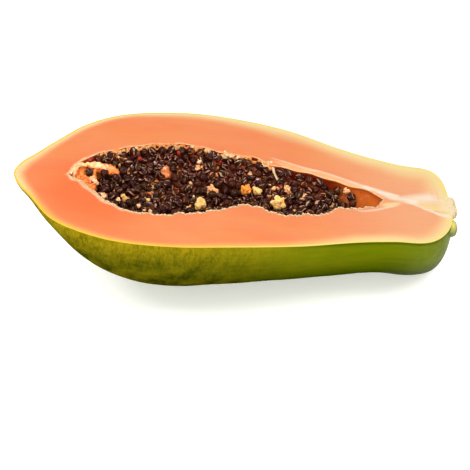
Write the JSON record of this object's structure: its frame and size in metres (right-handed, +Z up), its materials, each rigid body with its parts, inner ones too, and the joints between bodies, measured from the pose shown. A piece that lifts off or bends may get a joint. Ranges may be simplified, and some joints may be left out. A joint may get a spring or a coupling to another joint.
{
  "type": "papaya half",
  "caption": "Large long papaya cut lengthwise, lying on its skin, with orange flesh and an open hollow filled with dark seeds and bits of yellow pulp.",
  "frame": {"origin": "On the floor that the fruit lies on, under the middle of its outline seen from above.", "axes": "+X points along the fruit to its stem end, +Z points up out of the cut face, and -Y is the near long side."},
  "size_m": [0.3036, 0.1572, 0.0876],
  "materials": {
    "flesh": "moist orange fruit flesh with a soft sheen",
    "skin": "smooth waxy green skin with ochre freckles",
    "seeds": "wet, glossy near-black seeds",
    "pulp": "moist yellow pulp"
  },
  "bodies": {
    "root": {"papaya_half": "flesh", "seed_mass": "seeds"}
  },
  "joints": []
}
